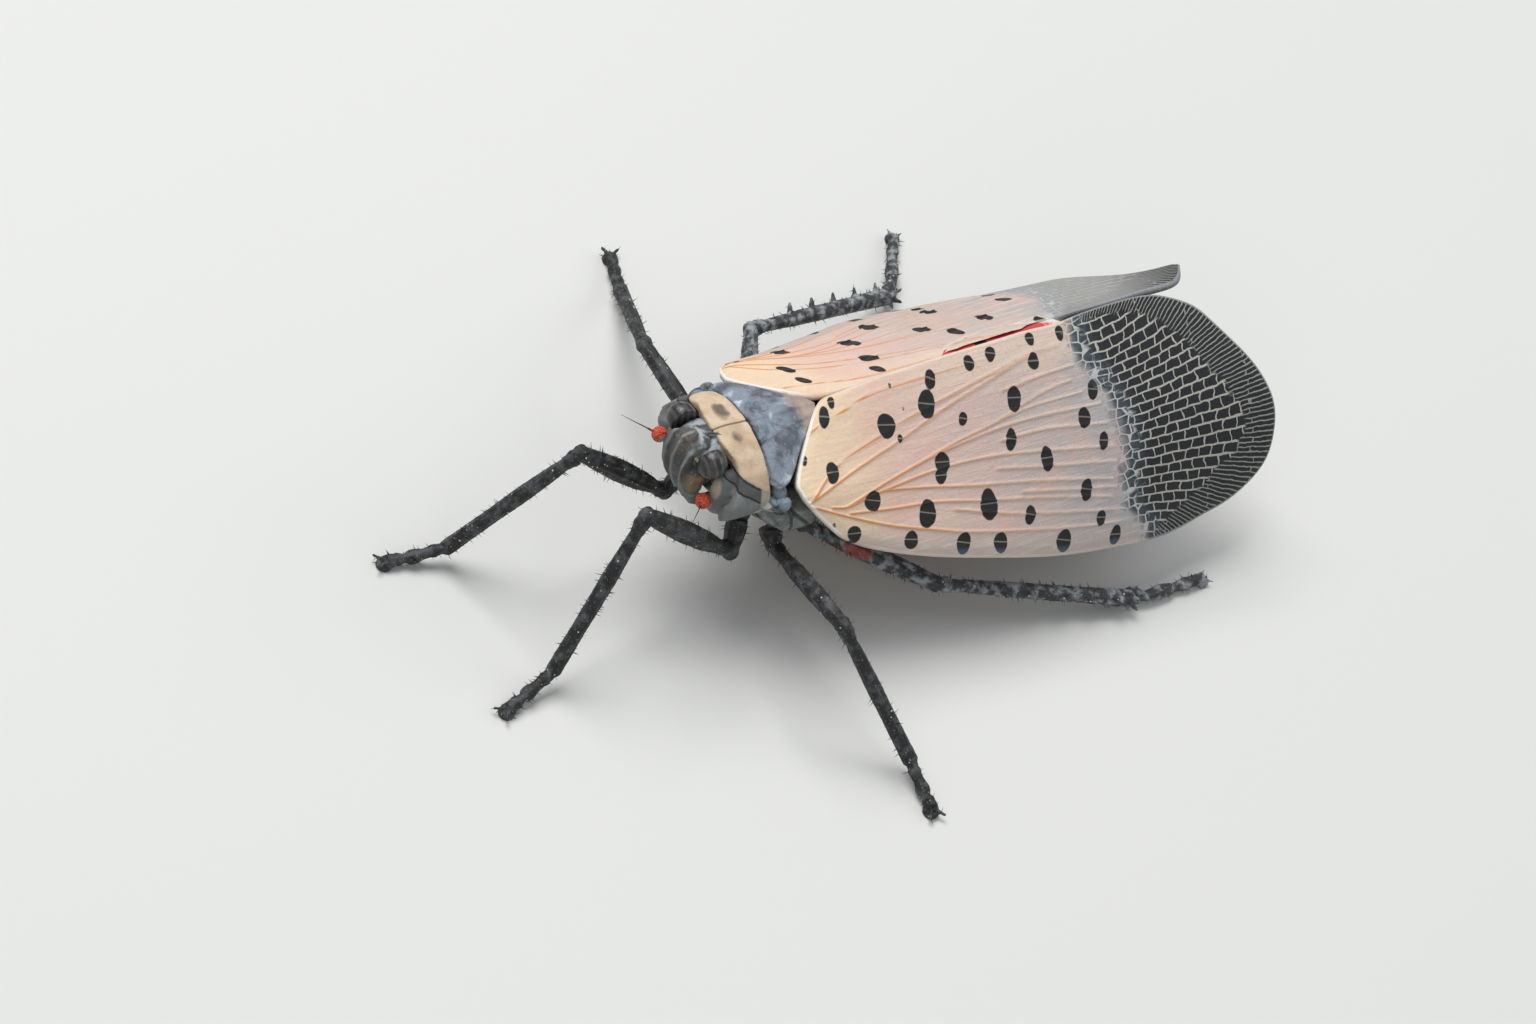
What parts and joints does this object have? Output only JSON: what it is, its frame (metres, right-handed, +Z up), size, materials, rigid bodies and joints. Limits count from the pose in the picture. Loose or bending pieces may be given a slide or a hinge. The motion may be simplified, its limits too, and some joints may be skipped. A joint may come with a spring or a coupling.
{
  "type": "spotted lanternfly",
  "caption": "Adult spotted lanternfly at rest on splayed legs, its spotted and net-veined forewings folded like a roof; a still, life-size model.",
  "frame": {"origin": "middle of the bounding box at the level of the feet", "axes": "head toward -Y, the insect's own left toward +X, +Z up from the floor"},
  "size_m": [0.0262, 0.0328, 0.0088],
  "materials": {
    "head_wax": "dark brown head capsule dusted with grey wax along its keels",
    "eye_dark": "dark grey-brown compound eye, smooth, with faint paler bands",
    "antenna_orange": "bright orange-red granular bulb with a dark bristle",
    "pronotum_tan": "cream-tan collar with two dark smudges and a thin dark middle line",
    "mesonotum_slate": "slate-blue shield under a whitish waxy bloom",
    "tegula_pale": "pale grey waxy scale",
    "thorax_wax": "grey-green side plates under wax",
    "abdomen_banded": "yellow rings, each with a broad black band",
    "forewing_spotted": "matt leathery wing, cream at the base, pinkish grey beyond, with black spots and a black end in a pale net of veins",
    "hindwing_red": "thin pleated wing, red with black spots, a white band and a black end",
    "leg_dark": "black-brown leg with pale specks and a thin grey wax"
  },
  "bodies": {
    "root": {"head": "head_wax", "beak": "leg_dark", "eye_left": "eye_dark", "eye_right": "eye_dark", "antenna_left": "antenna_orange", "antenna_right": "antenna_orange", "pronotum": "pronotum_tan", "mesonotum": "mesonotum_slate", "tegula_left": "tegula_pale", "tegula_right": "tegula_pale", "thorax": "thorax_wax", "abdomen": "abdomen_banded", "forewing_left": "forewing_spotted", "forewing_right": "forewing_spotted", "hindwing_left": "hindwing_red", "hindwing_right": "hindwing_red", "coxa_front_left": "leg_dark", "femur_front_left": "leg_dark", "tibia_front_left": "leg_dark", "tarsus_front_left": "leg_dark", "coxa_front_right": "leg_dark", "femur_front_right": "leg_dark", "tibia_front_right": "leg_dark", "tarsus_front_right": "leg_dark", "coxa_middle_left": "leg_dark", "femur_middle_left": "leg_dark", "tibia_middle_left": "leg_dark", "tarsus_middle_left": "leg_dark", "coxa_middle_right": "leg_dark", "femur_middle_right": "leg_dark", "tibia_middle_right": "leg_dark", "tarsus_middle_right": "leg_dark", "coxa_hind_left": "leg_dark", "femur_hind_left": "leg_dark", "tibia_hind_left": "leg_dark", "tarsus_hind_left": "leg_dark", "coxa_hind_right": "leg_dark", "femur_hind_right": "leg_dark", "tibia_hind_right": "leg_dark", "tarsus_hind_right": "leg_dark"}
  },
  "joints": []
}
